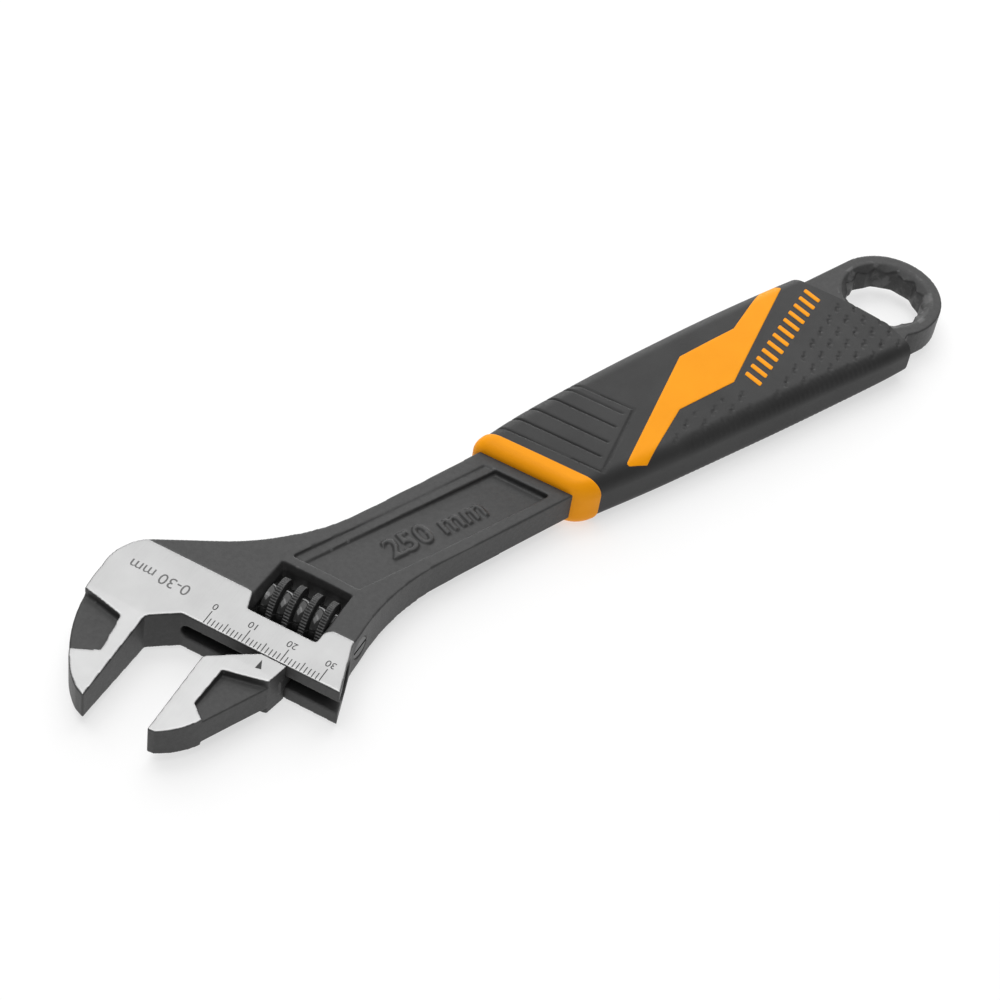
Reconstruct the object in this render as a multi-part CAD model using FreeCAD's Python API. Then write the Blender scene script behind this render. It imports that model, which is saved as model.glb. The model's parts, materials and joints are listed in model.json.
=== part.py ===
import FreeCAD, Part
import math
import os

from FreeCAD import Matrix, Placement, Vector

# Adjustable wrench, 250 mm class, lying flat.
# Frame: origin at the centre of the ring-end hole, on the plane the wrench lies on.
# +X runs along the handle from the ring to the jaws, +Y is the moving jaw's side, +Z is up.

# ---- driving dimensions, mm ----
GRIP_T = 14.2            # thickness of the grip, the thickest part of the wrench
Z_MID = GRIP_T / 2       # every piece is symmetric about this height
HEAD_ANGLE = 24.5        # between the jaw faces and the handle, degrees
SCALE_ZERO = (211.0, -2.0)   # zero of the millimetre scale, on the head's lower edge
HEAD_T = 11.8            # thickness of the head
TIP_T = 8.2              # thickness at the jaw tips
RING_R = 14.9            # outside radius of the ring end
RING_T = 8.2
RING_AF = 18.5           # across flats of the twelve-point hole
TANG_T = 8.4             # thickness of the shank where it enters the grip
SHANK_W = 22.6

JAW_FACE = -11.8         # fixed jaw face, on the head's own s axis
JAW_GAP = 16.6           # opening at rest, the scale reads the same
TIP_J = -30.0            # how far the jaws reach, on the head's own j axis
THROAT_J = -4.4

RAIL_J = 7.6             # centre of the jaw's round rail above the head's lower edge
RAIL_R = 4.6
RAIL_PLAY = 0.07
RAIL_ENDS = (2.2, 31.5)
BORE_BLIND_END = -15.2
NECK_ENDS = (13.3, 22.0)
NECK_T = 3.8
SLOT_T = 4.0
SLOT_END = -5.4

WORM_J = 17.6
WORM_ENDS = (6.9, 23.8)
WORM_R = 7.0
WORM_CORE_R = 5.0
WORM_PITCH = 4.25
WORM_PHASE = 9.52        # where the first crest faces straight up
CREST_W = 1.5            # width of the thread's crest
CREST_FLANK = 0.2        # how much each flank widens per mm of depth
RACK_PLAY = 0.2
WINDOW_S = (6.2, 24.0)
WINDOW_J = (9.3, 25.3)

PIN_R = 2.0
PIN_PLAY = 0.06
PIN_ENDS = (2.5, 31.0)
PIN_HEAD_R = 2.8
PIN_HEAD_L = 2.2
SPRING_WIRE_R = 0.28
SPRING_R = 2.85
SPRING_ENDS = (6.5, 12.5)
SPRING_TURNS = 6

GROUND_EDGE = 14.1       # the bright ground face ends at this j
STEP = 0.25              # the black forged face lies this far below it

COLLAR_J = (82.4, 87.4)  # the orange collar, square to the jaws' slide
COLLAR_PROUD = 0.4
GRIP_SKIN = 1.7          # thickness of the rubber over the orange core
TAIL_CUT = ((17.5, -16.0), (6.9, 18.4))
CORE_TAIL = 19.0         # the orange core stops this far short of the rubber's tail
CHEVRON_FOOT = 4.3       # height above mid height where the chevron ends on the grip's sides
RECESS_FLOOR = 3.65      # height of the sunk faces of both jaws above mid height

SIN = math.sin(math.radians(HEAD_ANGLE))
COS = math.cos(math.radians(HEAD_ANGLE))
S_AXIS = Vector(-SIN, COS, 0)
J_AXIS = Vector(-COS, -SIN, 0)
UP = Vector(0, 0, 1)
FAR = 400


def head(s, j, z=0.0):
    """A point from the head's own axes: s along the jaw's slide, j towards the handle."""
    return Vector(SCALE_ZERO[0], SCALE_ZERO[1], Z_MID + z) + S_AXIS * s + J_AXIS * j


def flat(x, y, z=0.0):
    return Vector(x, y, Z_MID + z)


def lines(points):
    """Straight edges through the points, in order."""
    return [Part.makeLine(a, b) for a, b in zip(points, points[1:])]


def arc(start, middle, end):
    return Part.Arc(start, middle, end).toShape()


def prism(edges, low, high):
    """A face between closed edges, which lie at mid height, extruded from low to high."""
    face = Part.Face(Part.Wire(edges))
    face.translate(UP * low)
    return face.extrude(UP * (high - low))


def head_block(outline, low, high):
    """A straight-sided prism over a closed outline of (s, j) points."""
    points = [head(s, j) for s, j in outline]
    return prism(lines(points + points[:1]), low, high)


def head_cylinder(radius, s_ends, j):
    return Part.makeCylinder(radius, s_ends[1] - s_ends[0], head(s_ends[0], j), S_AXIS)


def both_faces(cut):
    """The shape and its mirror image about mid height."""
    return [cut, cut.mirror(Vector(0, 0, Z_MID), UP)]


# ---- thickness profiles ----
def jaw_taper():
    """Full thickness over the head, thinning towards the jaw tips."""
    full = HEAD_T / 2
    tip = TIP_T / 2
    slope = (full - tip) / (THROAT_J - TIP_J)
    beyond = tip - slope * 5
    upper = [(FAR, full), (THROAT_J, full), (TIP_J - 5, beyond)]
    lower = [(j, -z) for j, z in reversed(upper)]
    points = [head(-60, j, z) for j, z in upper + lower]
    return Part.Face(Part.Wire(lines(points + points[:1]))).extrude(S_AXIS * 160)


def shank_taper():
    """The head's thickness runs down to the shank's in one concave curve, then to the ring's."""
    ring, tang, full = RING_T / 2, TANG_T / 2, HEAD_T / 2
    upper = [
        Part.makeLine(flat(-20, -40, ring), flat(30, -40, ring)),
        Part.makeLine(flat(30, -40, ring), flat(132, -40, tang)),
        arc(flat(132, -40, tang), flat(160, -40, tang + 0.5), flat(184, -40, full)),
        Part.makeLine(flat(184, -40, full), flat(260, -40, full)),
    ]
    mirrored = [edge.mirror(Vector(0, 0, Z_MID), UP) for edge in upper]
    ends = [
        Part.makeLine(flat(-20, -40, -ring), flat(-20, -40, ring)),
        Part.makeLine(flat(260, -40, full), flat(260, -40, -full)),
    ]
    wire = Part.Wire(Part.__sortEdges__(upper + mirrored + ends))
    return Part.Face(wire).extrude(Vector(0, 80, 0))


# ---- forged body ----
def body_outline():
    waist = SHANK_W / 2
    tip = TIP_J
    right_low, right_top, right_blend = head(35.6, 0), head(31.3, 13.2), head(31.2, 18.0)
    handle = [(0, RING_R), (19, RING_R), (34, waist - 0.4), (118, waist), (153, waist + 0.2)]
    edges = lines([flat(x, y) for x, y in handle])
    edges.append(arc(flat(153, waist + 0.2), flat(170.5, 14.2), right_blend))
    throat = [head(SLOT_END, 0), head(JAW_FACE + 0.6, THROAT_J), head(JAW_FACE, THROAT_J - 0.8)]
    jaw_tip = [head(JAW_FACE, tip), head(-14.4, tip + 1.1)]
    edges += lines([right_blend, right_top, right_low] + throat + jaw_tip)
    edges.append(arc(jaw_tip[-1], head(-18.3, -25.4), head(-21.4, -20.9)))
    edges.append(arc(head(-21.4, -20.9), head(-26.3, -10.3), head(-27.9, 2.0)))
    edges.append(arc(head(-27.9, 2.0), head(-27.1, 9.4), head(-22.6, 15.1)))
    edges += lines([head(-22.6, 15.1), flat(194.9, -20.9)])
    edges.append(arc(flat(194.9, -20.9), flat(180.7, -13.7), flat(161, 0.4 - waist)))
    under = [(161, 0.4 - waist), (118, -0.7 - waist), (34, 0.4 - waist), (19, -RING_R), (0, -RING_R)]
    edges += lines([flat(x, y) for x, y in under])
    edges.append(arc(flat(0, -RING_R), flat(-RING_R, 0), flat(0, RING_R)))
    return edges


def twelve_point(across_flats):
    """Two hexagons, a twelfth of a turn apart."""
    corner = across_flats / math.sqrt(3)
    holes = []
    for first in (0, 30):
        angles = [math.radians(first + 60 * k) for k in range(7)]
        points = [flat(corner * math.cos(a), corner * math.sin(a)) for a in angles]
        holes.append(prism(lines(points), -10, 10))
    return holes


def ring_mouth():
    """The chamfer at each end of the ring's hole."""
    corner = RING_AF / math.sqrt(3)
    depth = 1.3
    cone = Part.makeCone(corner - 0.9, corner + 1.7, depth + 0.4, flat(0, 0, RING_T / 2 - depth), UP)
    return both_faces(cone)


def panel_cuts():
    """The sunk panel on each side of the shank, deepest at its handle end."""
    near, far_end = 28.4, 79.4
    upper, inner, lower = -7.8, -5.2, 8.2

    def on_line(y, j):
        s = (y - SCALE_ZERO[1] + j * SIN) / COS
        return head(s, j)

    def pocket(y_top, floor):
        ends = [(y_top, near), (lower, near), (lower, far_end), (y_top, far_end)]
        corners = [on_line(y, j) for y, j in ends]
        block = prism(lines(corners + corners[:1]), 0, 12)
        side = [flat(190, -30, floor[0]), flat(112, -30, floor[1]), flat(112, -30, 14), flat(190, -30, 14)]
        return block.common(Part.Face(Part.Wire(lines(side + side[:1]))).extrude(Vector(0, 60, 0)))

    rim = pocket(upper, (5.0, 3.5))
    floor = pocket(inner, (4.7, 2.0))
    return both_faces(rim) + both_faces(floor)


def window_cuts():
    """The opening for the worm, with a thumb relief on the fixed jaw's side."""
    s0, s1 = WINDOW_S
    j0, j1 = WINDOW_J
    opening = [(s0, j0), (s1, j0), (s1, j1), (s0, j1)]
    inner = [(s0, j0), (s1, j0), (s1, j1), (s0, j1), (s0, j0 + 4.6)]
    relief = [(s0, j0), (s1, j0), (s1, j1 + 0.8), (s0 - 1.0, j1 + 0.8), (s0 - 1.8, j0 + 4.6)]
    low = Part.makePolygon([head(s, j, 3.4) for s, j in inner + inner[:1]])
    high = Part.makePolygon([head(s, j, 6.2) for s, j in relief + relief[:1]])
    return [head_block(opening, -10, 10)] + both_faces(Part.makeLoft([low, high], True, True))


def forged_skin():
    """Everything above the black forged face: the ground face has round corners at the window."""
    s0, s1 = WINDOW_S
    near, edge = WINDOW_J[0], GROUND_EDGE
    left = arc(head(s0 - 2.8, edge), head(s0 - 0.85, edge - 0.95), head(s0, near + 1.8))
    right = arc(head(s1, near + 2.0), head(s1 + 0.65, edge - 0.9), head(s1 + 2.3, edge))
    edges = lines([head(-60, edge), head(s0 - 2.8, edge)]) + [left]
    edges += lines([head(s0, near + 1.8), head(s0, near), head(s1, near), head(s1, near + 2.0)]) + [right]
    edges += lines([head(s1 + 2.3, edge), head(60, edge), head(60, 80), head(-60, 80), head(-60, edge)])
    return prism(edges, HEAD_T / 2 - STEP, HEAD_T)


def make_forged_body():
    body = prism(body_outline(), -HEAD_T / 2, HEAD_T / 2)
    body = body.common(shank_taper()).common(jaw_taper())
    lug = Part.makeCylinder(RING_R, RING_T, flat(0, 0, -RING_T / 2), UP)
    body = body.fuse(lug)
    hollow = [(-32, -4.6), (-16.6, -7.8), (-15.2, -17.8), (-24, -22.3), (-34, -20)]
    jaw_recess = head_block(hollow, RECESS_FLOOR, HEAD_T)
    cuts = twelve_point(RING_AF) + ring_mouth() + panel_cuts() + window_cuts()
    cuts += both_faces(forged_skin()) + both_faces(jaw_recess)
    half_slot = SLOT_T / 2
    slot_centre = SLOT_END + half_slot
    slot_sides = [(slot_centre, -6), (60, -6), (60, RAIL_J), (slot_centre, RAIL_J)]
    slot = head_block(slot_sides, -half_slot, half_slot)
    slot_end = Part.makeCylinder(half_slot, RAIL_J + 6, head(slot_centre, -6), J_AXIS)
    rail_bore = head_cylinder(RAIL_R + RAIL_PLAY, (BORE_BLIND_END, 60), RAIL_J)
    pin_hole = head_cylinder(PIN_R + PIN_PLAY, (PIN_ENDS[0] - 0.3, 60), WORM_J)
    pin_seat = head_cylinder(PIN_HEAD_R + 0.1, (PIN_ENDS[1] - PIN_HEAD_L, 60), WORM_J)
    cuts += [slot, slot_end, rail_bore, pin_hole, pin_seat]
    return body.cut(cuts).removeSplitter()


# ---- moving jaw ----
def rack_groove(s):
    """One slanted groove of the rack, which clears the worm's crest."""
    bottom = WORM_J - WORM_R - 0.25
    top = RAIL_J + RAIL_R + 0.4
    half_low = CREST_W / 2 + RACK_PLAY
    half_high = half_low + CREST_FLANK * (top - bottom)
    lean = WORM_PITCH / (2 * math.pi * WORM_R)
    z = 6.0
    section = [(-half_low, bottom), (half_low, bottom), (half_high, top), (-half_high, top)]
    wires = []
    for end in (-z, z):
        points = [head(s + ds - lean * end, j, end) for ds, j in section]
        wires.append(Part.makePolygon(points + points[:1]))
    return Part.makeLoft(wires, True, True)


def make_sliding_jaw():
    face = JAW_FACE + JAW_GAP
    play = -0.15
    inner = [(15.4, play), (face + 0.6, -7.1), (face, -7.9), (face, TIP_J), (face + 1.7, TIP_J + 0.2)]
    points = [head(s, j) for s, j in inner]
    edges = lines(points)
    edges.append(arc(points[-1], head(11.6, -25.2), head(14.2, -20.6)))
    edges += lines([head(14.2, -20.6), head(20.9, -6.2), head(22.0, play), points[0]])
    jaw = prism(edges, -HEAD_T / 2, HEAD_T / 2).common(jaw_taper())
    hollow = [(10.5, -8.5), (26, -4.7), (26, -27), (14.0, -22.2), (10.0, -19.0)]
    jaw = jaw.cut(both_faces(head_block(hollow, RECESS_FLOOR, HEAD_T)))
    s0, s1 = NECK_ENDS
    neck_sides = [(s0, play - 2), (s1, play - 2), (s1, RAIL_J), (s0, RAIL_J)]
    neck = head_block(neck_sides, -NECK_T / 2, NECK_T / 2)
    rail = head_cylinder(RAIL_R, RAIL_ENDS, RAIL_J)
    first = WORM_PHASE + WORM_PITCH / 4
    grooves = [rack_groove(first + WORM_PITCH * k) for k in range(-2, 6)]
    return jaw.fuse([neck, rail.cut(grooves)]).removeSplitter()


# ---- worm, its pin and its spring ----
def worm_placement(s):
    """Local Z along the slide, local X straight up."""
    across = J_AXIS * -1
    start = head(s, WORM_J)
    return Placement(Matrix(
        UP.x, across.x, S_AXIS.x, start.x,
        UP.y, across.y, S_AXIS.y, start.y,
        UP.z, across.z, S_AXIS.z, start.z,
        0, 0, 0, 1,
    ))


def make_worm():
    turns = 5
    root = WORM_CORE_R - 0.4
    helix = Part.makeHelix(WORM_PITCH, WORM_PITCH * turns, root)
    half_crest = CREST_W / 2
    half_root = half_crest + CREST_FLANK * (WORM_R - root)
    section = [(root, -half_root), (WORM_R, -half_crest), (WORM_R, half_crest), (root, half_root)]
    profile = Part.makePolygon([Vector(r, 0, z) for r, z in section + section[:1]])
    thread = Part.Wire(helix).makePipeShell([profile], True, True)
    thread.Placement = worm_placement(WORM_PHASE - WORM_PITCH)
    keep = head_cylinder(WORM_R + 1, WORM_ENDS, WORM_J)
    core = head_cylinder(WORM_CORE_R, WORM_ENDS, WORM_J)
    worm = core.fuse(thread.common(keep))
    pin_bore = head_cylinder(PIN_R + PIN_PLAY, (0, 40), WORM_J)
    spring_seat = head_cylinder(SPRING_R + SPRING_WIRE_R + 0.27, (0, SPRING_ENDS[1] + 0.3), WORM_J)
    return worm.cut([pin_bore, spring_seat])


def make_worm_pin():
    shaft = head_cylinder(PIN_R, PIN_ENDS, WORM_J)
    button = head_cylinder(PIN_HEAD_R, (PIN_ENDS[1] - PIN_HEAD_L, PIN_ENDS[1]), WORM_J)
    bottom, beyond = PIN_ENDS[1] - 0.9, PIN_ENDS[1] + 1
    low, high = WORM_J - 4, WORM_J + 4
    slot = head_block([(bottom, low), (beyond, low), (beyond, high), (bottom, high)], -0.4, 0.4)
    return shaft.fuse(button).cut(slot)


def make_worm_spring():
    """A coil of eight-sided wire, which stands for round wire."""
    start, end = SPRING_ENDS
    height = end - start - 2 * SPRING_WIRE_R
    helix = Part.makeHelix(height / SPRING_TURNS, height, SPRING_R)
    around = [math.radians(22.5 + 45 * k) for k in range(9)]
    section = [Vector(SPRING_R + SPRING_WIRE_R * math.cos(a), 0, SPRING_WIRE_R * math.sin(a)) for a in around]
    coil = Part.Wire(helix).makePipeShell([Part.makePolygon(section)], True, True)
    coil.Placement = worm_placement(start + SPRING_WIRE_R)
    return coil


# ---- grip ----
# stations along the handle: x, edge on the fixed jaw's side, edge on the moving jaw's side, half thickness
GRIP_STATIONS = [
    (132.0, -13.6, 12.2, 6.4),
    (114.0, -16.0, 13.5, 6.9),
    (92.0, -17.4, 15.2, 7.12),
    (60.0, -18.1, 16.8, 7.12),
    (34.0, -18.0, 17.9, 6.4),
    (14.0, -17.4, 18.6, 5.3),
    (0.0, -16.2, 18.4, 4.7),
]


def grip_section(x, low, high, half, grow):
    """A rounded rectangle across the handle."""
    y0, y1, h = low - grow, high + grow, half + grow
    radius = 0.62 * h
    bulge = radius * (1 - math.sqrt(0.5))
    corners = [(y0, -h, 1, 1), (y1, -h, -1, 1), (y1, h, -1, -1), (y0, h, 1, -1)]
    edges = []
    last = None
    for k, (y, z, to_y, to_z) in enumerate(corners):
        along_z = flat(x, y, z + to_z * radius)
        along_y = flat(x, y + to_y * radius, z)
        middle = flat(x, y + to_y * bulge, z + to_z * bulge)
        a, b = (along_z, along_y) if k % 2 == 0 else (along_y, along_z)
        if last is not None:
            edges.append(Part.makeLine(last, a))
        else:
            first = a
        edges.append(arc(a, middle, b))
        last = b
    edges.append(Part.makeLine(last, first))
    return Part.Wire(edges)


def grip_form(grow):
    """The grip's smooth body, flattened where the wrench lies on it."""
    form = Part.makeLoft([grip_section(*station, grow) for station in GRIP_STATIONS], True, False)
    return form.common(Part.makeBox(200, 80, GRIP_T, Vector(-20, -40, 0)))


def chevron_blocks():
    """The orange chevron on both faces, a zigzag band that leans across the handle."""
    upper_side = [(107.2, 18), (101.0, 18), (75.8, 4.9), (57.9, 4.9), (16.8, -19)]
    lower_side = [(24.0, -19), (45.4, -9.65), (64.0, -9.1)]
    points = [flat(x, y) for x, y in upper_side + lower_side]
    return both_faces(prism(lines(points + points[:1]), CHEVRON_FOOT, 12))


def make_grip(tang):
    front, back = COLLAR_J
    (x0, y0), (x1, y1) = TAIL_CUT

    def trim(short):
        """What lies between the collar's front and the tail, shortened at the tail."""
        tail = [(x1 + short, y1 + 20), (x1 + short, y1), (x0 + short, y0), (x0 + short, y0 - 20)]
        keep = [head(-60, front), head(140, front)] + [flat(x, y) for x, y in tail]
        return prism(lines(keep + keep[:1]), -12, 12)

    outer = grip_form(0).common(trim(0))
    inner = grip_form(-GRIP_SKIN).common(trim(CORE_TAIL))
    collar_slab = head_block([(-60, front), (140, front), (140, back), (-60, back)], -12, 12)
    collar = grip_form(COLLAR_PROUD).common(collar_slab)
    behind = head_block([(-60, back), (140, back), (140, FAR), (-60, FAR)], -12, 12)
    chevrons = [outer.common(block).common(behind) for block in chevron_blocks()]
    core = collar.fuse([inner] + chevrons).cut(tang).removeSplitter()
    hole = Part.makeCylinder(RING_AF / 2 + 0.4, 40, flat(0, 0, -20), UP)
    rubber = outer.common(behind).cut([core, tang, hole]).removeSplitter()
    return core, rubber


def main():
    os.makedirs("parts", exist_ok=True)
    forged_body = make_forged_body()
    tang = prism(body_outline(), -HEAD_T / 2, HEAD_T / 2).common(shank_taper())
    grip_core, grip_overmould = make_grip(tang)
    nodes = {
        "forged_body": forged_body,
        "sliding_jaw": make_sliding_jaw(),
        "worm": make_worm(),
        "worm_pin": make_worm_pin(),
        "worm_spring": make_worm_spring(),
        "grip_core": grip_core,
        "grip_overmould": grip_overmould,
    }
    for name, shape in nodes.items():
        shape.exportStep("parts/" + name + ".step")
        box = shape.optimalBoundingBox()
        print(name, shape.isValid(), len(shape.Solids), round(shape.Volume, 1), box)


main()
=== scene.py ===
"""Looks of an adjustable wrench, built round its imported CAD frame.

Shapes are worked out in millimetres in the wrench's own frame, and become metres when a mesh is made.
+X runs from the ring end to the jaws, +Y is the moving jaw's side and +Z is up. On the head and the grip,
s runs along the jaw's slide and j runs from the jaw tips towards the handle.
"""
import json
import math

import bmesh
import bpy
import numpy as np
from mathutils import Matrix, Vector
from mathutils.geometry import delaunay_2d_cdt


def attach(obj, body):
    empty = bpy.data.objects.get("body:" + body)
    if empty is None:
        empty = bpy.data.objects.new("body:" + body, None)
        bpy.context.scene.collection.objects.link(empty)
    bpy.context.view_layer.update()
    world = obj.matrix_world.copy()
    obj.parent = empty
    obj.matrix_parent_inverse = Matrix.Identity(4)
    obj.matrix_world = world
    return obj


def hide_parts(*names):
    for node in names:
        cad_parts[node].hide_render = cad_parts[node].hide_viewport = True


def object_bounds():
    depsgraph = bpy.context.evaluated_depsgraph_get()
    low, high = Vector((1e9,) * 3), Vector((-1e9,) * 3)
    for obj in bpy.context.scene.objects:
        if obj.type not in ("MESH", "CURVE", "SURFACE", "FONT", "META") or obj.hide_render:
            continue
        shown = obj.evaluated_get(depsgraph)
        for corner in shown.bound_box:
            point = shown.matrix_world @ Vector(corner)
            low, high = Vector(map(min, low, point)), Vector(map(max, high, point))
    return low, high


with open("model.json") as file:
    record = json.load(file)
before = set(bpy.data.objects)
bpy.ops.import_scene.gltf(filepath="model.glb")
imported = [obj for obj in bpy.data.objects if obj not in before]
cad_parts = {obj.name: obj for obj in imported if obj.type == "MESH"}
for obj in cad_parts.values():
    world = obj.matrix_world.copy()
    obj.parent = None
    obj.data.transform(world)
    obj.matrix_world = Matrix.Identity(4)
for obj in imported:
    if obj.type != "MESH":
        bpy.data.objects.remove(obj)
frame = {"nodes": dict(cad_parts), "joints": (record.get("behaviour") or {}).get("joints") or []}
cad_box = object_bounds()

MM = 0.001
UP = Vector((0, 0, 1))

# ---- the head's own axes, from the frame's joints ----
JOINTS = {joint["name"]: joint for joint in frame["joints"]}
WORM_J = 17.6            # the worm's axis, from the head's lower edge
S_AXIS = Vector(JOINTS["jaw_slide"]["axis"]).normalized()
J_AXIS = UP.cross(S_AXIS)
SCALE_ZERO = Vector(JOINTS["worm_turn"]["pos_m"]) / MM - J_AXIS * WORM_J    # where s and j are 0
Z_MID = SCALE_ZERO.z
SIN = -S_AXIS.x
COS = S_AXIS.y

# ---- sizes, mm ----
HEAD_HALF = 5.9          # half thickness of the head at its ground faces
TAPER_J = -4.4           # the jaws thin from here to their tips
TAPER = 0.0703           # the half thickness lost in each millimetre there
FORGED_VOXEL = 0.3       # edges of the forging are rounded to about this size
JAW_VOXEL = 0.22         # and those of the moving jaw to this
SMOOTH_PASSES = 3
WORM_PITCH = 4.25
WORM_PHASE = 9.52        # the s at which a crest faces straight up
WORM_ENDS = (6.9, 23.8)
WORM_R = 7.0
WORM_CORE_R = 5.0
KNURLS = 60              # serrations round one turn of the crest
KNURL_DEPTH = 0.2
# the worm's bores: radius, and the s at each end
PIN_BORE = (2.06, (0, 40))
SPRING_BORE = (3.4, (0, 12.8))
ETCH_LIFT = 0.012        # etched marks stand this far out of the steel, and reach as far into it
RANGE_MARK = (-15.2, 6.2)             # s and j of its middle
RANGE_SIZE = 4.4
SCALE_END = 30
SCALE_EDGE = 0.35        # gap between the ticks and the head's lower edge
TICK_WIDTH = 0.24
NUMBER_J = 5.7
NUMBER_SIZE = 2.6
# the shank's sunk panel: x and half thickness at its two ends
PANEL_NEAR_HEAD = (190.0, 4.7)
PANEL_NEAR_GRIP = (112.0, 2.0)
LENGTH_MARK = (148.4, 2.0)            # x and y of its middle
LENGTH_SIZE = 8.6
COLLAR_J = (82.4, 87.4)
COLLAR_PROUD = 0.45
RUBBER_START = COLLAR_J[1] - 0.8      # the rubber begins under the collar's rear edge
RUBBER_END = 186.0                    # past the tail, which TAIL_LINE cuts
RUBBER_STEP = 0.3
CORNER = 0.62            # corner radius of the grip's section, as a share of its half thickness
SHEET_PROUD = 0.1        # the orange stands this far above the rubber
SHEET_RIM = 0.15         # radius of its upper edge
# x, edge on the fixed jaw's side, edge on the moving jaw's side, half thickness
GRIP_STATIONS = np.array([
    (0.0, -16.2, 18.4, 4.7),
    (14.0, -17.4, 18.6, 5.3),
    (34.0, -18.0, 17.9, 6.4),
    (60.0, -18.1, 16.8, 7.1),
    (92.0, -17.4, 15.2, 7.1),
    (114.0, -16.0, 13.5, 6.9),
    (132.0, -13.6, 12.2, 6.4),
])
TAIL_LINE = [(18.4, -17.4), (11.2, -1.9), (7.8, 8.6), (7.9, 18.8)]
PAD = [(118.6, -17.0), (105.3, 10.9), (85.6, -1.1), (93.8, -18.0)]
PAD_GROOVES = (95.2, 100.4, 106.0, 111.0)
MARK_LINE = ((54.4, 7.3), (17.0, -9.6))      # the row of bars runs along this line

# ---- CAD nodes that keep their own mesh: node, finish, tone and roughness ----
BARE_NODES = [
    ("worm_pin", "pin_steel", 0.09, 0.35),
    ("worm_spring", "spring_steel", 0.5, 0.3),
]

# ---- view and lights, in metres and degrees ----
VIEW_TARGET = Vector((0.1275, 0.0005, Z_MID * MM))
VIEW_AZIMUTH = 134.8
VIEW_ELEVATION = 48.0
VIEW_ROLL = 10.1
VIEW_DISTANCE = 0.6457
SENSOR_WIDTH = 36        # this and the lens in mm
LENS = 97.2
FLOOR_HALF = 3.0         # half the side of the table
WORLD_STRENGTH = 0.3
# name, azimuth, elevation, distance, width and height, watts
LIGHTS = [
    ("key", 333, 56, 1.3, (1.6, 1.3), 10.5),
    ("backdrop", 311, 11, 1.5, (1.6, 0.34), 8),
    ("overhead", 60, 82, 1.4, (1.0, 1.0), 7.5),
    ("fill", 120, 22, 1.6, (0.7, 0.5), 1.2),
]


def head(s, j, z=0.0):
    """A point from the head's own axes, z above mid height."""
    return SCALE_ZERO + S_AXIS * s + J_AXIS * j + UP * z


def plane_height(j):
    """Half thickness of the ground faces at j."""
    return HEAD_HALF - TAPER * max(0.0, TAPER_J - j)


# ---- meshes ----
def joined(parts):
    """One list of corners and one of faces from several."""
    points, faces = [], []
    for part_points, part_faces in parts:
        first = len(points)
        points += [Vector(p) for p in part_points]
        faces += [[first + k for k in face] for face in part_faces]
    return points, faces


def linked(name, data):
    """A new object in the scene."""
    made = bpy.data.objects.new(name, data)
    bpy.context.scene.collection.objects.link(made)
    return made


def add_faces(shape, points, faces):
    """Adds corners and faces to a bmesh."""
    corners = [shape.verts.new(p) for p in points]
    for face in faces:
        shape.faces.new([corners[k] for k in face])


def cut_off(shape, point, outward):
    """Removes what lies beyond a plane, and closes the cut."""
    everything = shape.verts[:] + shape.edges[:] + shape.faces[:]
    cut = bmesh.ops.bisect_plane(shape, geom=everything, plane_co=point, plane_no=outward, clear_outer=True)
    rim = [item for item in cut["geom_cut"] if isinstance(item, bmesh.types.BMEdge)]
    bmesh.ops.edgeloop_fill(shape, edges=rim)


def in_metres(shape):
    """A bmesh drawn in millimetres, brought to metres."""
    for vertex in shape.verts:
        vertex.co *= MM
    return shape


def as_mesh(shape, name):
    """The mesh of a bmesh, which is then freed."""
    mesh = bpy.data.meshes.new(name)
    shape.to_mesh(mesh)
    shape.free()
    return mesh


def add_piece(name, shape, body, finish, angle=40):
    """A piece from corners in millimetres and faces, riding on a CAD body."""
    points, faces = shape
    mesh = bpy.data.meshes.new(name)
    mesh.from_pydata([Vector(p) * MM for p in points], [], faces)
    mesh.validate()
    return add_mesh(name, mesh, body, finish, angle)


def add_mesh(name, mesh, body, finish, angle=40):
    """A piece from a mesh in metres. Edges sharper than the angle, in degrees, stay crisp."""
    mesh.materials.clear()
    mesh.materials.append(finish)
    mesh.shade_smooth()
    mesh.set_sharp_from_angle(angle=math.radians(angle))
    piece = linked(name, mesh)
    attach(piece, body)
    return piece


def evaluated(source):
    """The mesh of an object with its modifiers applied."""
    return bpy.data.meshes.new_from_object(source.evaluated_get(bpy.context.evaluated_depsgraph_get()))


def box_shape(corner, along, across, height):
    """A straight box from one corner and three edge vectors."""
    steps = [(0, 0, 0), (1, 0, 0), (1, 1, 0), (0, 1, 0), (0, 0, 1), (1, 0, 1), (1, 1, 1), (0, 1, 1)]
    points = [corner + along * a + across * b + height * c for a, b, c in steps]
    faces = [(0, 3, 2, 1), (4, 5, 6, 7), (0, 1, 5, 4), (1, 2, 6, 5), (2, 3, 7, 6), (3, 0, 4, 7)]
    if along.cross(across).dot(height) < 0:
        faces = [face[::-1] for face in faces]
    return points, faces


def text_shape(words, size, thickness, bevel, place):
    """Lettering as a solid, in millimetres. place is the matrix that carries its middle from the origin."""
    curve = bpy.data.curves.new("lettering", "FONT")
    curve.body = words
    curve.size = size
    curve.align_x = "CENTER"
    curve.align_y = "CENTER"
    curve.extrude = thickness / 2
    curve.bevel_depth = bevel
    curve.bevel_resolution = 1
    carrier = linked("lettering", curve)
    mesh = evaluated(carrier)
    points = [place @ v.co for v in mesh.vertices]
    faces = [list(p.vertices) for p in mesh.polygons]
    bpy.data.objects.remove(carrier)
    bpy.data.meshes.remove(mesh)
    return points, faces


def lying(centre, reading, top):
    """The placement of lettering that reads along one direction with its top towards another."""
    normal = reading.cross(top)
    return Matrix((
        (reading.x, top.x, normal.x, centre.x),
        (reading.y, top.y, normal.y, centre.y),
        (reading.z, top.z, normal.z, centre.z),
        (0, 0, 0, 1),
    ))


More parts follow.
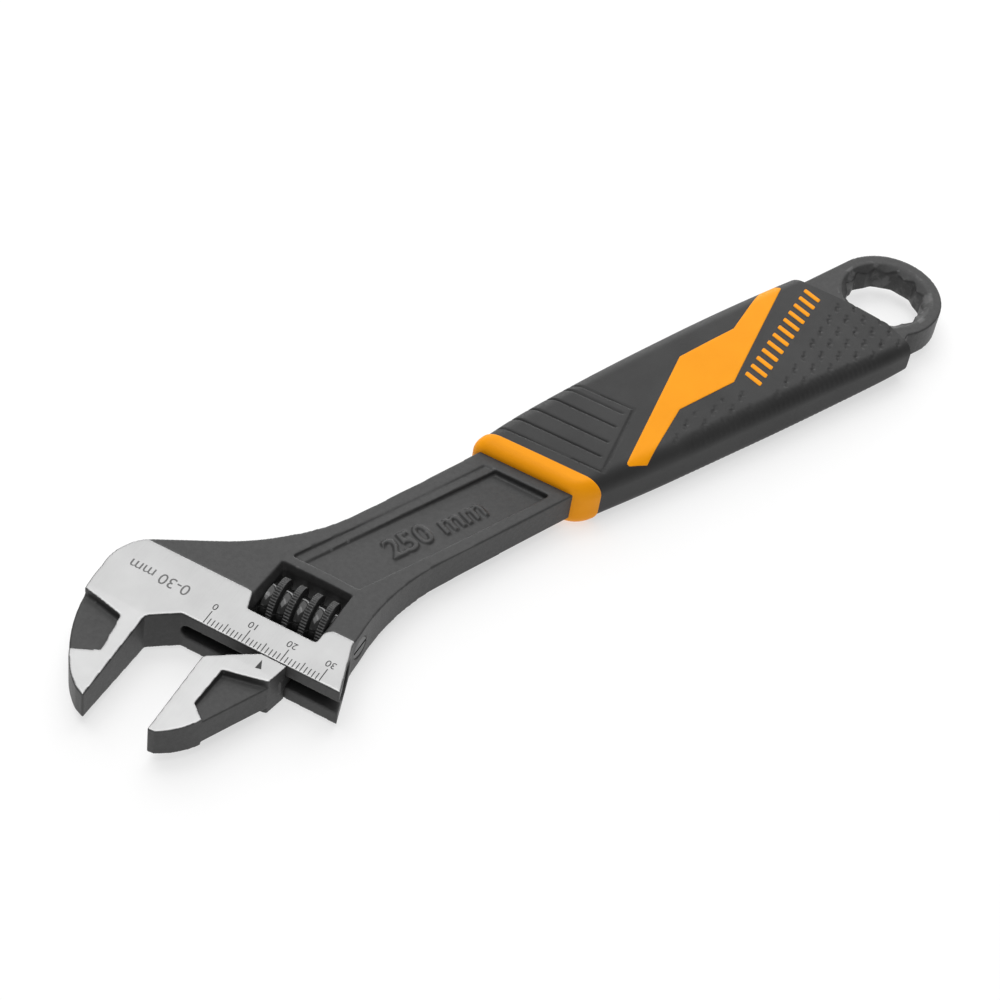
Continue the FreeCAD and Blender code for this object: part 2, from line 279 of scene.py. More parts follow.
def softened(node, name, body, finish, extra=(), voxel=FORGED_VOXEL):
    """Stands for a CAD node: the same shape with its edges rounded, as forging and tumbling leave them."""
    shape = bmesh.new()
    shape.from_mesh(frame["nodes"][node].data)
    bmesh.ops.remove_doubles(shape, verts=shape.verts, dist=1e-6)
    for points, faces in extra:
        add_faces(shape, [p * MM for p in points], faces)
    carrier = linked(name + "_rough", as_mesh(shape, name))
    remesh = carrier.modifiers.new("remesh", "REMESH")
    remesh.mode = "VOXEL"
    remesh.voxel_size = voxel * MM
    smooth = carrier.modifiers.new("smooth", "SMOOTH")
    smooth.factor = 0.5
    smooth.iterations = SMOOTH_PASSES
    mesh = evaluated(carrier)
    bpy.data.objects.remove(carrier)
    piece = add_mesh(name, mesh, body, finish, angle=70)
    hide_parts(node)
    return piece


# ---- materials ----
class Finish:
    """A material and short ways to add its nodes."""

    def __init__(self, name):
        self.material = bpy.data.materials.new(name)
        self.material.use_nodes = True
        self.nodes = self.material.node_tree.nodes
        self.links = self.material.node_tree.links
        self.shader = self.nodes["Principled BSDF"]
        coordinates = self.node("ShaderNodeTexCoord")
        self.place = self.maths_vector("SCALE", coordinates.outputs["Object"], scale=1 / MM)

    def node(self, kind, **settings):
        made = self.nodes.new(kind)
        for key, value in settings.items():
            setattr(made, key, value)
        return made

    def feed(self, socket, value):
        if isinstance(value, bpy.types.NodeSocket):
            self.links.new(value, socket)
        else:
            socket.default_value = value

    def set(self, **values):
        for key, value in values.items():
            self.feed(self.shader.inputs[key.replace("_", " ")], value)

    def maths(self, operation, *values):
        made = self.node("ShaderNodeMath", operation=operation)
        for socket, value in zip(made.inputs, values):
            self.feed(socket, value)
        return made.outputs[0]

    def maths_vector(self, operation, *values, scale=None):
        made = self.node("ShaderNodeVectorMath", operation=operation)
        for socket, value in zip(made.inputs, values):
            self.feed(socket, value)
        if scale is not None:
            made.inputs["Scale"].default_value = scale
        return made.outputs["Value" if operation == "LENGTH" else "Vector"]

    def turned(self):
        """Coordinates with x along -j, y along s and z from mid height, in millimetres."""
        moved = self.maths_vector("SUBTRACT", self.place, tuple(SCALE_ZERO))
        turn = self.node("ShaderNodeVectorRotate", rotation_type="Z_AXIS")
        self.feed(turn.inputs["Vector"], moved)
        turn.inputs["Angle"].default_value = -math.atan2(SIN, COS)
        return turn.outputs["Vector"]

    def parts(self, vector):
        made = self.node("ShaderNodeSeparateXYZ")
        self.feed(made.inputs[0], vector)
        return made.outputs

    def noise(self, scale, detail=3.0, roughness=0.55, stretch=None, vector=None):
        """Fractal noise with about this many lumps to a millimetre."""
        source = vector or self.place
        if stretch:
            source = self.maths_vector("MULTIPLY", source, stretch)
        made = self.node("ShaderNodeTexNoise")
        self.feed(made.inputs["Vector"], source)
        made.inputs["Scale"].default_value = scale
        made.inputs["Detail"].default_value = detail
        made.inputs["Roughness"].default_value = roughness
        return made.outputs["Fac"]

    def range(self, value, low, high, out_low=0.0, out_high=1.0, smooth=False):
        made = self.node("ShaderNodeMapRange")
        made.interpolation_type = "SMOOTHSTEP" if smooth else "LINEAR"
        for socket, item in zip(made.inputs, (value, low, high, out_low, out_high)):
            self.feed(socket, item)
        return made.outputs[0]

    def mix(self, factor, first, second, kind="RGBA"):
        """What lies between two, by a factor. kind is RGBA, FLOAT or VECTOR."""
        made = self.node("ShaderNodeMix", data_type=kind)
        ending = {"RGBA": "Color", "FLOAT": "Float", "VECTOR": "Vector"}[kind]
        sockets = {socket.identifier: socket for socket in made.inputs}
        for name, item in (("Factor_Float", factor), (f"A_{ending}", first), (f"B_{ending}", second)):
            self.feed(sockets[name], item)
        return next(socket for socket in made.outputs if socket.identifier == f"Result_{ending}")

    def bump(self, height, strength, depth, under=None):
        made = self.node("ShaderNodeBump")
        made.inputs["Strength"].default_value = strength
        made.inputs["Distance"].default_value = depth * MM
        self.feed(made.inputs["Height"], height)
        if under is not None:
            self.feed(made.inputs["Normal"], under)
        return made.outputs["Normal"]

    def worn(self, share):
        """How far a place is a raised edge, where handling rubs the finish, up to a share."""
        pointiness = self.node("ShaderNodeNewGeometry").outputs["Pointiness"]
        return self.maths("MULTIPLY", self.range(pointiness, 0.52, 0.62, smooth=True), share)


def grey(value):
    """A neutral colour."""
    return (value, value, value, 1.0)


def forged_steel():
    """Satin black skin, with bright ground faces wherever the surface reaches the grinding plane."""
    finish = Finish("forged_steel")
    x, _, z = finish.parts(finish.turned())
    height = finish.maths("ABSOLUTE", z)
    thinning = finish.maths("MAXIMUM", finish.maths("ADD", x, TAPER_J), 0.0)
    plane = finish.maths("SUBTRACT", HEAD_HALF, finish.maths("MULTIPLY", thinning, TAPER))
    above = finish.maths("SUBTRACT", height, plane)
    ground = finish.range(above, -0.13, -0.07, smooth=True)      # starts just under the plane

    lumps = finish.noise(0.9, detail=4.0)
    pits = finish.noise(3.4, detail=2.0)
    grain = finish.noise(1.0, detail=3.0, stretch=(0.12, 9.0, 1.0), vector=finish.turned())
    stains = finish.noise(0.07, detail=3.0)
    from_ring = finish.maths_vector("LENGTH", finish.maths_vector("MULTIPLY", finish.place, (1, 1, 0)))
    mouth = finish.range(from_ring, 12.9, 12.3, smooth=True)     # nuts rub the ring round its mouth
    scuffs = finish.noise(0.25, detail=3.0)
    rubbed = finish.maths("MULTIPLY", mouth, finish.range(scuffs, 0.5, 0.66, smooth=True))
    black = finish.mix(finish.range(lumps, 0.3, 0.7), grey(0.028), grey(0.040))
    black = finish.mix(finish.worn(0.5), black, (0.11, 0.11, 0.115, 1))
    black = finish.mix(finish.maths("MULTIPLY", rubbed, 0.45), black, grey(0.16))
    bright = finish.mix(finish.range(grain, 0.35, 0.65), grey(0.32), grey(0.36))
    bright = finish.mix(finish.range(stains, 0.35, 0.7), bright, grey(0.38))
    rough_black = finish.range(pits, 0.3, 0.7, 0.42, 0.54)
    rough_bright = finish.range(grain, 0.3, 0.7, 0.34, 0.46)
    forged = finish.bump(lumps, 0.35, 0.12)
    forged = finish.bump(pits, 0.3, 0.04, under=forged)
    fine = finish.bump(grain, 0.25, 0.01)
    finish.set(
        Base_Color=finish.mix(ground, black, bright, "FLOAT"),    # both are greys, so one number carries them
        Metallic=finish.mix(ground, 0.0, 1.0, "FLOAT"),
        Roughness=finish.mix(ground, rough_black, rough_bright, "FLOAT"),
        Specular_IOR_Level=0.42,
        Normal=finish.mix(ground, forged, fine, "VECTOR"),
    )
    return finish.material


def worm_black():
    """Black oxide: dull on the knurled crest, polished on the core."""
    finish = Finish("worm_black")
    x, _, z = finish.parts(finish.turned())
    off_axis = finish.maths("ADD", x, WORM_J)
    radius = finish.maths("SQRT", finish.maths("ADD", finish.maths("MULTIPLY", off_axis, off_axis),
                                               finish.maths("MULTIPLY", z, z)))
    crest = finish.range(radius, WORM_CORE_R + 0.1, WORM_CORE_R + 0.6, smooth=True)
    turning = finish.noise(1.0, detail=2.0, stretch=(0.2, 14.0, 0.2), vector=finish.turned())
    colour = finish.mix(crest, grey(0.05), grey(0.018))
    finish.set(
        Base_Color=finish.mix(finish.worn(0.6), colour, grey(0.16)),
        Metallic=finish.mix(crest, 0.75, 0.1, "FLOAT"),
        Roughness=finish.mix(crest, finish.range(turning, 0.3, 0.7, 0.10, 0.2), 0.45, "FLOAT"),
        Normal=finish.bump(turning, 0.2, 0.01),
    )
    return finish.material


def bare_steel(name, tone, roughness):
    """Turned or drawn steel with fine lines round it."""
    finish = Finish(name)
    lines = finish.noise(1.0, detail=2.0, stretch=(0.3, 16.0, 0.3), vector=finish.turned())
    finish.set(
        Base_Color=finish.mix(finish.range(lines, 0.3, 0.7), grey(tone * 0.8), grey(tone)),
        Metallic=1.0,
        Roughness=finish.range(lines, 0.3, 0.7, roughness - 0.06, roughness + 0.06),
        Normal=finish.bump(lines, 0.3, 0.01),
    )
    return finish.material


def rubber():
    """Black moulded rubber with a fine spark-eroded grain, dusty on its raised edges."""
    finish = Finish("rubber")
    grain = finish.noise(5.5, detail=3.0, roughness=0.65)
    cloud = finish.noise(0.09, detail=4.0)
    black = finish.mix(finish.range(cloud, 0.3, 0.75), grey(0.020), grey(0.030))
    finish.set(
        Base_Color=finish.mix(finish.worn(0.35), black, grey(0.08)),
        Roughness=finish.range(grain, 0.3, 0.7, 0.44, 0.58),
        Specular_IOR_Level=0.3,
        Normal=finish.bump(grain, 0.35, 0.05),
    )
    return finish.material


def orange_plastic():
    """Satin orange plastic, with slight clouding and a fine moulded grain."""
    finish = Finish("orange_plastic")
    grain = finish.noise(6.0, detail=2.0)
    cloud = finish.noise(0.12, detail=3.0)
    deep, pale = (0.90, 0.325, 0.002, 1), (0.93, 0.345, 0.003, 1)
    finish.set(
        Base_Color=finish.mix(finish.range(cloud, 0.3, 0.7), deep, pale),
        Roughness=finish.range(grain, 0.3, 0.7, 0.42, 0.52),
        Specular_IOR_Level=0.12,
        Normal=finish.bump(grain, 0.2, 0.03),
    )
    return finish.material


def etched(name, tone):
    """The dull oxide that laser marking leaves on ground steel."""
    finish = Finish(name)
    speckle = finish.noise(9.0, detail=2.0)
    finish.set(
        Base_Color=finish.mix(finish.range(speckle, 0.3, 0.7), grey(tone * 0.8), grey(tone)),
        Metallic=0.3,
        Roughness=finish.range(speckle, 0.3, 0.7, 0.6, 0.75),
    )
    return finish.material


def light_table():
    """A matt white sheet lit from below, which keeps the shadows pale."""
    finish = Finish("light_table")
    cloud = finish.noise(0.02, detail=2.0)
    finish.set(
        Base_Color=finish.mix(cloud, grey(0.40), grey(0.43)),
        Roughness=finish.range(cloud, 0.3, 0.7, 0.75, 0.85),
        Specular_IOR_Level=0.1,
        Emission_Color=grey(1.0),
        Emission_Strength=0.6,
    )
    return finish.material


# ---- the worm ----
def worm_shape():
    """A helical crest with serrations, cut off square at both ends."""
    flank = [(-WORM_PITCH / 2, WORM_CORE_R), (-1.4, WORM_CORE_R), (-1.15, 5.15), (-0.86, 6.7), (-0.77, 6.9),
             (-0.64, WORM_R), (-0.3, WORM_R)]
    profile = flank + [(0.0, WORM_R)] + [(-t, r) for t, r in reversed(flank[1:])]
    steps = KNURLS * 8
    turns, turns_before = 8, 3
    rings = turns * len(profile)
    shape = bmesh.new()
    grid = []
    for i in range(steps):
        angle = 2 * math.pi * i / steps
        outward = UP * math.cos(angle) - J_AXIS * math.sin(angle)
        notch = KNURL_DEPTH * (0.5 - 0.5 * math.cos(KNURLS * angle)) ** 2
        row = []
        for m in range(rings):
            t, radius = profile[m % len(profile)]
            s = WORM_PHASE + WORM_PITCH * (angle / (2 * math.pi) + m // len(profile) - turns_before) + t
            if radius > WORM_R - 0.05:
                radius -= notch
            row.append(shape.verts.new(head(s, WORM_J) + outward * radius))
        grid.append(row)
    for i in range(steps):
        shift = len(profile) if i == steps - 1 else 0      # the seam joins each turn to the next
        after = grid[(i + 1) % steps]
        for m in range(rings - 1 - shift):
            shape.faces.new((grid[i][m], grid[i][m + 1], after[m + 1 + shift], after[m + shift]))
    for end, side in zip(WORM_ENDS, (-1, 1)):
        cut_off(shape, head(end, WORM_J), S_AXIS * side)
    bmesh.ops.recalc_face_normals(shape, faces=shape.faces)
    return shape


def make_worm(finish):
    """The worm, bored for its pin and, at one end, for the spring."""
    carrier = linked("worm_blank", as_mesh(in_metres(worm_shape()), "knurled_worm"))
    turn = S_AXIS.to_track_quat("Z", "Y").to_matrix().to_4x4()
    tools = []
    for radius, ends in (PIN_BORE, SPRING_BORE):
        middle = head(sum(ends) / 2, WORM_J) * MM
        cutter = bmesh.new()
        bmesh.ops.create_cone(cutter, cap_ends=True, segments=64, radius1=radius * MM, radius2=radius * MM,
                              depth=(ends[1] - ends[0]) * MM, matrix=Matrix.Translation(middle) @ turn)
        tool = linked("bore", as_mesh(cutter, "bore"))
        cut = carrier.modifiers.new("bore", "BOOLEAN")
        cut.object = tool
        cut.solver = "EXACT"
        tools.append(tool)
    bored = evaluated(carrier)
    for item in [carrier] + tools:
        bpy.data.objects.remove(item)
    piece = add_mesh("knurled_worm", bored, "knurl", finish, angle=35)
    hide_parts("worm")
    return piece


# ---- marks on the ground face ----
def etched_text(words, size, s, j):
    """Lettering on the head's ground face, which reads towards the fixed jaw."""
    return text_shape(words, size, ETCH_LIFT * 2, 0, lying(head(s, j, HEAD_HALF), -S_AXIS, -J_AXIS))


def scale_shape():
    """Millimetre ticks from 0 to 30 along the head's lower edge, and their numbers."""
    parts = []
    for mark in range(SCALE_END + 1):
        length = 3.8 if mark % 10 == 0 else 2.6 if mark % 5 == 0 else 1.9
        corner = head(mark - TICK_WIDTH / 2, SCALE_EDGE, HEAD_HALF - ETCH_LIFT)
        parts.append(box_shape(corner, S_AXIS * TICK_WIDTH, J_AXIS * length, UP * ETCH_LIFT * 2))
        if mark % 10 == 0:
            parts.append(etched_text(str(mark), NUMBER_SIZE, mark, NUMBER_J))
    return joined(parts)


def pointer_shape():
    """The arrow on the moving jaw that reads the scale."""
    corners = [(16.5, -1.5), (16.3, -4.3), (17.7, -3.9)]
    low = [head(s, j, plane_height(j) - ETCH_LIFT) for s, j in corners]
    high = [head(s, j, plane_height(j) + ETCH_LIFT) for s, j in corners]
    faces = [(0, 1, 2), (5, 4, 3), (0, 3, 4, 1), (1, 4, 5, 2), (2, 5, 3, 0)]
    return low + high, [face[::-1] for face in faces]


# ---- the grip's surface ----
def through(xs, ys, x):
    """A smooth curve through the stations."""
    slopes = np.gradient(ys, xs)
    k = np.clip(np.searchsorted(xs, x) - 1, 0, len(xs) - 2)
    width = xs[k + 1] - xs[k]
    t = (x - xs[k]) / width
    return ((2 * t**3 - 3 * t**2 + 1) * ys[k] + (t**3 - 2 * t**2 + t) * width * slopes[k]
            + (3 * t**2 - 2 * t**3) * ys[k + 1] + (t**3 - t**2) * width * slopes[k + 1])


def grip_edges(x):
    """Both edges, half thickness and corner radius of the grip at x."""
    low, high, half = (through(GRIP_STATIONS[:, 0], GRIP_STATIONS[:, k], x) for k in (1, 2, 3))
    half = np.minimum(half, Z_MID - SHEET_PROUD)      # leaves room for the orange above the floor
    return low, high, half, CORNER * half


def grip_top(x, y):
    """Height of the grip's upper face above mid height."""
    low, high, half, radius = grip_edges(x)
    into = np.maximum(np.maximum(low + radius - y, y - (high - radius)), 0)
    return half - radius + np.sqrt(np.maximum(radius**2 - into**2, 0))


def section_columns(flat_count, corner_count, side_count):
    """Where each column of the grip's mesh lies: shares across and up, and the outward direction."""
    columns = []
    for up, across in ((1, 1), (-1, -1)):
        for k in range(flat_count):
            share = k / flat_count
            columns.append((share if across > 0 else 1 - share, up, 0.0, up))
        for k in range(corner_count):
            angle = 0.5 * math.pi * k / corner_count
            columns.append(((1 + across) / 2, up, across * math.sin(angle), up * math.cos(angle)))
        for k in range(side_count):
            columns.append(((1 + across) / 2, up * (1 - 2 * k / side_count), across, 0.0))
        for k in range(corner_count):
            angle = 0.5 * math.pi * k / corner_count
            columns.append(((1 + across) / 2, -up, across * math.cos(angle), -up * math.sin(angle)))
    return np.array(columns).T


def grip_ring(columns, j, grow):
    """The grip's section in the plane at j, grown outward. grow is a number or one for each column."""
    share, level, out_y, out_z = columns
    y = np.zeros(len(share))
    for _ in range(12):      # the plane is slanted, so x and y are found together
        x = SCALE_ZERO.x - (j + SIN * (y - SCALE_ZERO.y)) / COS
        low, high, half, radius = grip_edges(x)
        y = low + radius + (high - low - 2 * radius) * share + (radius + grow) * out_y
    z = (half - radius) * level + (radius + grow) * out_z
    return np.stack([x, y, z + Z_MID], 1)


def tube(rings):
    """Quads between rings, with a flat cap at each end."""
    count = len(rings[0])
    faces = []
    for r in range(len(rings) - 1):
        a, b = r * count, (r + 1) * count
        for k in range(count):
            n = (k + 1) % count
            faces.append((a + k, b + k, b + n, a + n))
    last = (len(rings) - 1) * count
    faces.append(tuple(range(count)))
    faces.append(tuple(last + k for k in reversed(range(count))))
    return [p for ring in rings for p in ring], faces


def smooth_step(value):
    """From 0 to 1 along a smooth curve, and level beyond."""
    value = np.clip(value, 0, 1)
    return value * value * (3 - 2 * value)


def from_segment(x, y, start, end):
    """Distance of each point from a straight segment, in plan."""
    a, b = np.array(start), np.array(end)
    along = b - a
    share = np.clip(((x - a[0]) * along[0] + (y - a[1]) * along[1]) / (along @ along), 0, 1)
    return np.hypot(x - a[0] - share * along[0], y - a[1] - share * along[1])


def pad_relief(x, y, j):
    """Depth of the thumb pad's border and of its grooves, which stop a little way inside the border."""
    border_depth, border_reach = 0.32, 0.45
    groove_depth, groove_reach = 0.42, 0.5
    margin, fade = 1.6, 0.6
    depth = np.zeros(len(x))
    for start, end in zip(PAD, PAD[1:]):
        near = smooth_step(1 - from_segment(x, y, start, end) / border_reach)
        depth = np.maximum(depth, border_depth * near)
    (ax, ay), (bx, by) = PAD[1], PAD[2]
    beyond = ((x - ax) * (by - ay) - (y - ay) * (bx - ax)) / math.hypot(bx - ax, by - ay)
    inside = smooth_step((-beyond - margin) / fade)
    for groove in PAD_GROOVES:
        near = smooth_step(1 - np.abs(j - groove) / groove_reach)
        depth = np.maximum(depth, groove_depth * inside * near)
    return depth


def tick_relief(x, y):
    """Depth of the small stepped ticks that roughen the tail half, on one side of the row of bars."""
    across, apart, depth, reach = 3.7, 5.6, 0.24, 0.4
    turn = math.radians(28)
    strokes = [((-1.5, 0.3), (-0.1, 0.3)), ((-0.1, 0.3), (0.2, -0.3)), ((0.2, -0.3), (1.6, -0.3))]
    (ax, ay), (bx, by) = MARK_LINE
    length = math.hypot(bx - ax, by - ay)
    ux, uy = (bx - ax) / length, (by - ay) / length
    along = (x - ax) * ux + (y - ay) * uy
    off = (y - ay) * ux - (x - ax) * uy
    _, high, _, radius = grip_edges(x)
    tail = (-off > 5.4) | ((x > 57) & (y > 7.6))
    region = tail & (y < high - radius * 0.6) & (x < 86)
    row = np.round(off / across)
    shifted = along + (row % 2) * apart / 2
    local_u = shifted - np.round(shifted / apart) * apart
    local_v = off - row * across
    u = local_u * math.cos(turn) + local_v * math.sin(turn)
    v = local_v * math.cos(turn) - local_u * math.sin(turn)
    near = np.min([from_segment(u, v, start, end) for start, end in strokes], axis=0)
    return np.where(region, depth * smooth_step(1 - near / reach), 0)


def edge_ripple(x, out_y):
    """Shallow ripples along the rounded edge on the moving jaw's side."""
    depth, pitch = 0.12, 1.6
    reach = smooth_step((x - 16) / 6) * smooth_step((86 - x) / 8)
    corner = smooth_step((out_y - 0.15) / 0.3) * smooth_step((0.98 - out_y) / 0.15)
    return depth * reach * corner * (0.5 + 0.5 * np.cos(2 * math.pi * x / pitch))


def make_rubber(finish):
    """The overmould: a tube between the collar and the ring, cut to the tail's outline."""
    columns = section_columns(flat_count=92, corner_count=14, side_count=9)
    length = RUBBER_END - RUBBER_START
    rows = int(length / RUBBER_STEP)
    rings = []
    for row in range(rows + 1):
        j = RUBBER_START + length * row / rows
        plain = grip_ring(columns, j, 0.0)
        x, y = plain[:, 0], plain[:, 1]
        depth = np.maximum(pad_relief(x, y, j), tick_relief(x, y)) * (np.abs(columns[3]) > 0.05)
        depth = np.maximum(depth, edge_ripple(x, columns[2]))
        rings.append(grip_ring(columns, j, -depth))
    shape = bmesh.new()
    add_faces(shape, *tube(rings))
    for (ax, ay), (bx, by) in zip(TAIL_LINE, TAIL_LINE[1:]):
        outward = Vector((ay - by, bx - ax, 0)).normalized()
        if outward.x > 0:
            outward = -outward
        cut_off(shape, (ax, ay, 0), outward)
    bmesh.ops.recalc_face_normals(shape, faces=shape.faces)
    mesh = as_mesh(in_metres(shape), "grip_rubber")
    piece = add_mesh("grip_rubber", mesh, "body", finish, angle=50)
    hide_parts("grip_overmould")
    return piece


def collar_shape():
    """The orange collar: a bead that falls away to the shank in front and has a tight edge behind."""
    columns = section_columns(flat_count=40, corner_count=12, side_count=6)
    front, back = COLLAR_J
    fall, drop, edge = 3.9, 2.8, 0.6
    profile = [(front + 0.2, -3.8), (front, -3.2)]
    for k in range(11):
        angle = 0.5 * math.pi * (1 - k / 10)
        profile.append((front + fall * (1 - math.sin(angle)), COLLAR_PROUD - drop * (1 - math.cos(angle))))
    for k in range(6):
        angle = 0.5 * math.pi * k / 5
        profile.append((back - edge * (1 - math.sin(angle)), COLLAR_PROUD - edge * (1 - math.cos(angle))))
    profile += [(back, -1.4), (back - 0.2, -3.0)]
    rings = [grip_ring(columns, j, grow) for j, grow in profile]
    for ring in rings:
        ring[:, 2] = np.clip(ring[:, 2], 0, 2 * Z_MID)
    return tube(rings)


# ---- sheets that follow the grip's faces ----
def rounded(corners, radius):
    """A closed outline whose corners are arcs."""
    steps = 5
    outline = []
    count = len(corners)
    for k in range(count):
        before, corner, after = (Vector(corners[(k + i) % count]) for i in (-1, 0, 1))
        to_before, to_after = before - corner, after - corner
        half = to_before.angle(to_after) / 2
        reach = min(radius / math.tan(half), 0.45 * to_before.length, 0.45 * to_after.length)
        bend = reach * math.tan(half)
        inward = (to_before.normalized() + to_after.normalized()).normalized()
        centre = corner + inward * bend / math.sin(half)
        start = corner + to_before.normalized() * reach - centre
        end = corner + to_after.normalized() * reach - centre
        for i in range(steps + 1):
            outline.append(centre + start.lerp(end, i / steps).normalized() * bend)
    return outline


def stepped(outline, spacing):
    """The outline with extra points on its long straight edges."""
    result = []
    for a, b in zip(outline, outline[1:] + outline[:1]):
        count = max(1, round((b - a).length / spacing))
        result += [a.lerp(b, i / count) for i in range(count)]
    return result


def is_inside(points, outline):
    """Which points lie inside a closed outline."""
    x, y = points[:, 0], points[:, 1]
    inside = np.zeros(len(points), bool)
    for a, b in zip(outline, outline[1:] + outline[:1]):
        crosses = (a.y > y) != (b.y > y)
        slope = (b.x - a.x) / (b.y - a.y) if a.y != b.y else 0.0
        inside ^= crosses & (x < a.x + (y - a.y) * slope)
    return inside


def sheet(corners, radius, sink, face, spacing=0.7):
    """A closed sheet over the grip's upper (face 1) or lower (face -1) side, with a round outer edge."""
    outline = stepped(rounded(corners, radius), spacing)
    area = sum(a.cross(b) for a, b in zip(outline, outline[1:] + outline[:1]))
    if area < 0:
        outline.reverse()
    count = len(outline)
    normals = []
    for k in range(count):
        along = (outline[(k + 1) % count] - outline[k - 1]).normalized()
        normals.append(Vector((along.y, -along.x)))
    inner = [p - n * SHEET_RIM for p, n in zip(outline, normals)]
    low = np.array(inner).min(0)
    high = np.array(inner).max(0)
    xs, ys = np.meshgrid(np.arange(low[0], high[0], spacing), np.arange(low[1], high[1], spacing))
    grid = np.stack([xs.ravel(), ys.ravel()], 1)
    shrunk = [p - n * (SHEET_RIM + spacing * 0.4) for p, n in zip(outline, normals)]
    grid = grid[is_inside(grid, shrunk)]
    loose = inner + [Vector(p) for p in grid]
    edges = [(k, (k + 1) % count) for k in range(count)]
    flat, _, triangles, origins, _, _ = delaunay_2d_cdt(loose, edges, [], 1, 1e-5)
    where = {source: k for k, sources in enumerate(origins) for source in sources}

    def lifted(p, height):
        return (p.x, p.y, Z_MID + face * (float(grip_top(p.x, p.y)) + height))

    points = [lifted(p, SHEET_PROUD) for p in flat]
    faces = [list(t) for t in triangles]
    last = [where[k] for k in range(count)]
    angles = [math.radians(degrees) for degrees in (30, 60, 90)]
    rings = [(SHEET_RIM * math.sin(a), SHEET_RIM * (1 - math.cos(a))) for a in angles]
    for out, drop in rings + [(SHEET_RIM, SHEET_PROUD + sink)]:
        first = len(points)
        points += [lifted(p + n * out, SHEET_PROUD - drop) for p, n in zip(inner, normals)]
        ring = [first + k for k in range(count)]
        for k in range(count):
            n = (k + 1) % count
            faces.append([last[k], ring[k], ring[n], last[n]])
        last = ring
    first = len(points)
    points += [lifted(p, -sink) for p in flat]
    faces += [[first + k for k in reversed(t)] for t in triangles]
    for k in range(count):
        n = (k + 1) % count
        faces.append([last[k], first + where[k], first + where[n], last[n]])
    if face < 0:
        faces = [f[::-1] for f in faces]
    return points, faces


def chevron_corners(face):
    """The orange zigzag that leans across the grip. Underneath, its foot stops short of the rounded edge."""
    foot = [(99.3, 12.3), (93.6, 14.1)] if face > 0 else [(96.5, 10.7), (88.6, 11.5)]
    toe = [(23.9, -15.0), (24.6, -16.8), (29.6, -16.9)]
    return foot + [(75.8, 4.9), (57.9, 4.9)] + toe + [(45.4, -9.65), (64.0, -9.1)]


def mark_bars():
    """A row of plain slanted bars behind the chevron."""
    start, end = (Vector(p) for p in MARK_LINE)
    along = (end - start).normalized()
    across = Vector((-along.y, along.x))
    count, width, lean, length = 12, 1.5, 1.6, 5.0
    bars = []
    for k in range(count):
        middle = start.lerp(end, (k + 0.5) / count)
        bars.append([middle + along * (a * width / 2 + b * lean / 2) + across * b * (length / 2)
                     for a, b in ((-1, -1), (1, -1), (1, 1), (-1, 1))])
    return bars


def make_orange(finish):
    """The core where it shows: collar, chevron and bars on both faces."""
    parts = [collar_shape()]
    for face in (1, -1):
        parts.append(sheet(chevron_corners(face), radius=0.6, sink=0.9, face=face))
        for bar in mark_bars():
            parts.append(sheet(bar, radius=0.35, sink=0.7, face=face, spacing=0.9))
    piece = add_piece("grip_orange", joined(parts), "body", finish, angle=50)
    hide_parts("grip_core")
    return piece


# ---- raised size mark in the sunk panels ----
def panel_marks():
    """The nominal length, raised in the panel on each side of the shank. The panel's floor is a slope."""
    (grip_x, grip_half), (head_x, head_half) = PANEL_NEAR_GRIP, PANEL_NEAR_HEAD
    middle_x, middle_y = LENGTH_MARK
    tilt = math.atan2(head_half - grip_half, head_x - grip_x)
    level = grip_half + (middle_x - grip_x) * math.tan(tilt)
    thickness, bevel, raised = 0.7, 0.12, 0.1
    shapes = []
    for face in (1, -1):
        reading = Vector((-math.cos(tilt), 0, -math.sin(tilt) * face))
        top = Vector((0, -face, 0))
        centre = Vector((middle_x, middle_y, Z_MID + face * (level + raised)))
        shapes.append(text_shape("250 mm", LENGTH_SIZE, thickness, bevel, lying(centre, reading, top)))
    return shapes


# ---- surroundings ----
def make_floor():
    """The table that the wrench lies on."""
    corners = [(x * FLOOR_HALF, y * FLOOR_HALF, 0) for x, y in ((-1, -1), (1, -1), (1, 1), (-1, 1))]
    mesh = bpy.data.meshes.new("floor")
    mesh.from_pydata(corners, [], [(0, 1, 2, 3)])
    floor = linked("floor", mesh)
    floor.location.z = cad_box[0].z
    mesh.materials.append(light_table())


def direction(azimuth, elevation):
    """Away from the wrench, by angles in degrees. Azimuth 0 is on the -Y side and 90 on the +X side."""
    turn, rise = math.radians(azimuth), math.radians(elevation)
    return Vector((math.sin(turn) * math.cos(rise), -math.cos(turn) * math.cos(rise), math.sin(rise)))


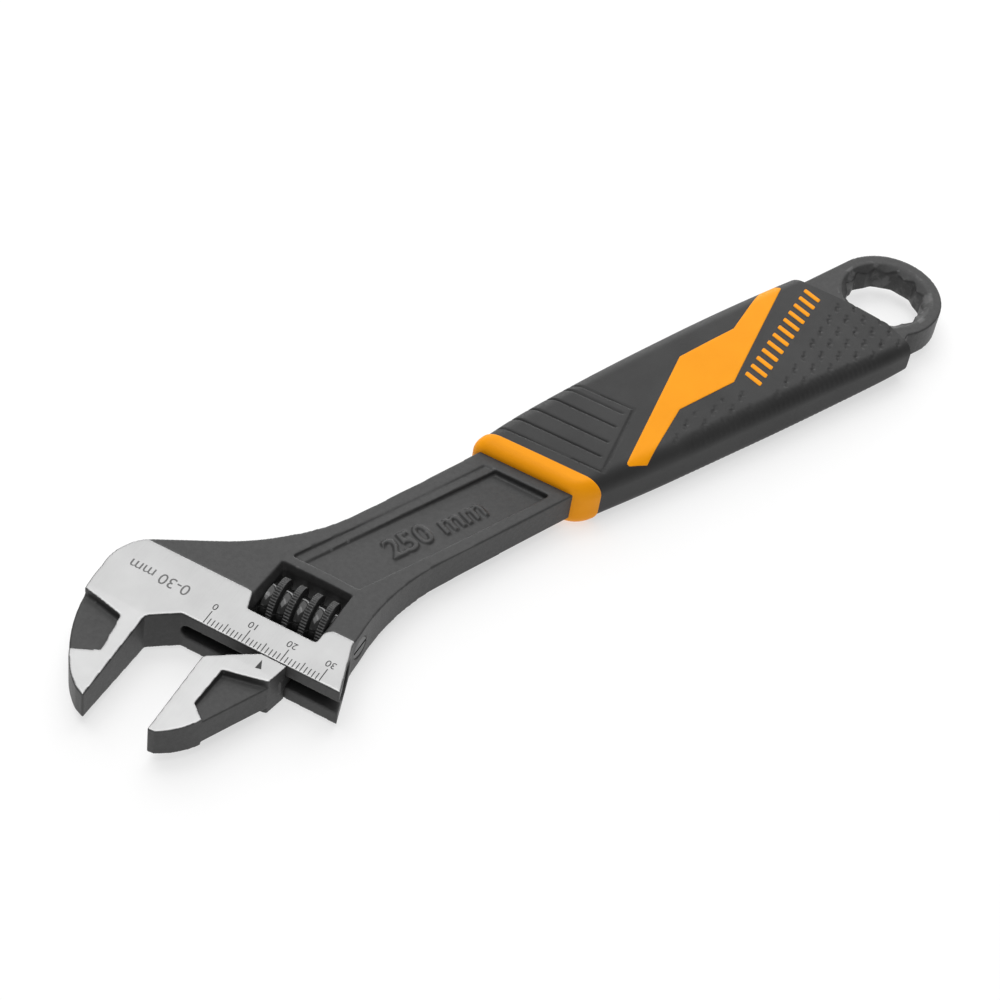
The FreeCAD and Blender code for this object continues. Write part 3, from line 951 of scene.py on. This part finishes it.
def area_light(name, azimuth, elevation, distance, size, watts):
    """A soft box that faces the wrench."""
    away = direction(azimuth, elevation)
    lamp = bpy.data.lights.new(name, "AREA")
    lamp.shape = "RECTANGLE"
    lamp.size, lamp.size_y = size
    lamp.energy = watts
    holder = linked(name, lamp)
    holder.location = VIEW_TARGET + away * distance
    holder.rotation_mode = "QUATERNION"
    holder.rotation_quaternion = (-away).to_track_quat("-Z", "Y")


def make_camera():
    """The photograph's view."""
    away = direction(VIEW_AZIMUTH, VIEW_ELEVATION)
    camera = bpy.data.cameras.new("camera")
    camera.sensor_width = SENSOR_WIDTH
    camera.lens = LENS
    camera.clip_start = 0.01
    holder = linked("camera", camera)
    turn = (-away).to_track_quat("-Z", "Y").to_matrix().to_4x4()
    roll = Matrix.Rotation(math.radians(VIEW_ROLL), 4, "Z")
    holder.matrix_world = Matrix.Translation(VIEW_TARGET + away * VIEW_DISTANCE) @ turn @ roll
    bpy.context.scene.camera = holder


def make_studio():
    """Table, camera, lights and a pale surround."""
    make_floor()
    make_camera()
    for light in LIGHTS:
        area_light(*light)
    world = bpy.data.worlds.new("studio")
    world.use_nodes = True
    backdrop = world.node_tree.nodes["Background"]
    backdrop.inputs["Color"].default_value = (1, 1, 1, 1)
    backdrop.inputs["Strength"].default_value = WORLD_STRENGTH
    bpy.context.scene.world = world
    bpy.context.scene.view_settings.view_transform = "Standard"


def main():
    steel = forged_steel()
    softened("forged_body", "forged_handle", "body", steel, extra=panel_marks())
    softened("sliding_jaw", "moving_jaw", "jaw", steel, voxel=JAW_VOXEL)
    make_worm(worm_black())
    for node, name, tone, roughness in BARE_NODES:
        materials = frame["nodes"][node].data.materials
        materials.clear()
        materials.append(bare_steel(name, tone, roughness))
    make_rubber(rubber())
    make_orange(orange_plastic())
    dark_etch = etched("dark_etch", 0.045)
    add_piece("scale_marks", scale_shape(), "body", dark_etch)
    add_piece("pointer_mark", pointer_shape(), "jaw", dark_etch)
    range_mark = etched_text("0-30 mm", RANGE_SIZE, *RANGE_MARK)
    add_piece("range_mark", range_mark, "body", etched("light_etch", 0.16))
    make_studio()


main()
